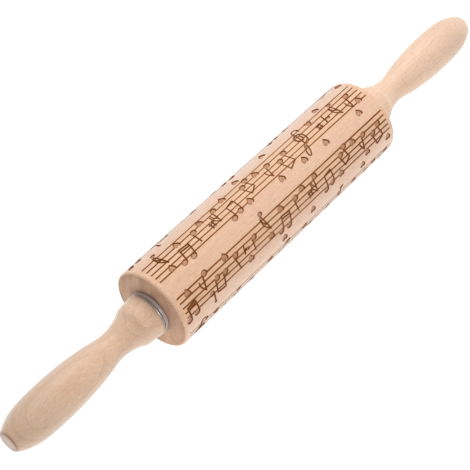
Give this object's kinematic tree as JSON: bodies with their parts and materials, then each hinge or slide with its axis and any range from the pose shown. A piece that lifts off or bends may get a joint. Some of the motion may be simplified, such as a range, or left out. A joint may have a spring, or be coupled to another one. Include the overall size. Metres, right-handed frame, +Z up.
{
  "type": "embossed rolling pin",
  "caption": "Beech rolling pin whose roller, carved with music staves, notes and hearts, turns on a steel axle between two shaped handles.",
  "frame": {"origin": "on the surface the pin lies on, straight below the middle of the roller's axis", "axes": "+X along the pin towards its far handle in the picture, +Z up, and Y across the pin"},
  "size_m": [0.3974, 0.0498, 0.0499],
  "materials": {
    "roller_wood": "bare sanded beech with burnt engraving",
    "handle_wood": "bare turned beech, sanded smooth",
    "bush_nylon": "glossy off-white nylon",
    "axle_steel": "ground steel rod",
    "washer_steel": "punched steel washer"
  },
  "bodies": {
    "handles": {"axle": "axle_steel", "near_thrust_washer": "washer_steel", "far_thrust_washer": "washer_steel", "near_handle": "handle_wood", "far_handle": "handle_wood"},
    "roller": {"roller": "roller_wood", "near_bush": "bush_nylon", "far_bush": "bush_nylon"}
  },
  "joints": [
    {"name": "roller_spin", "type": "hinge", "parent": "handles", "child": "roller", "pos_m": [0, 0, 0.02495], "axis": [1, 0, 0], "continuous": true}
  ]
}
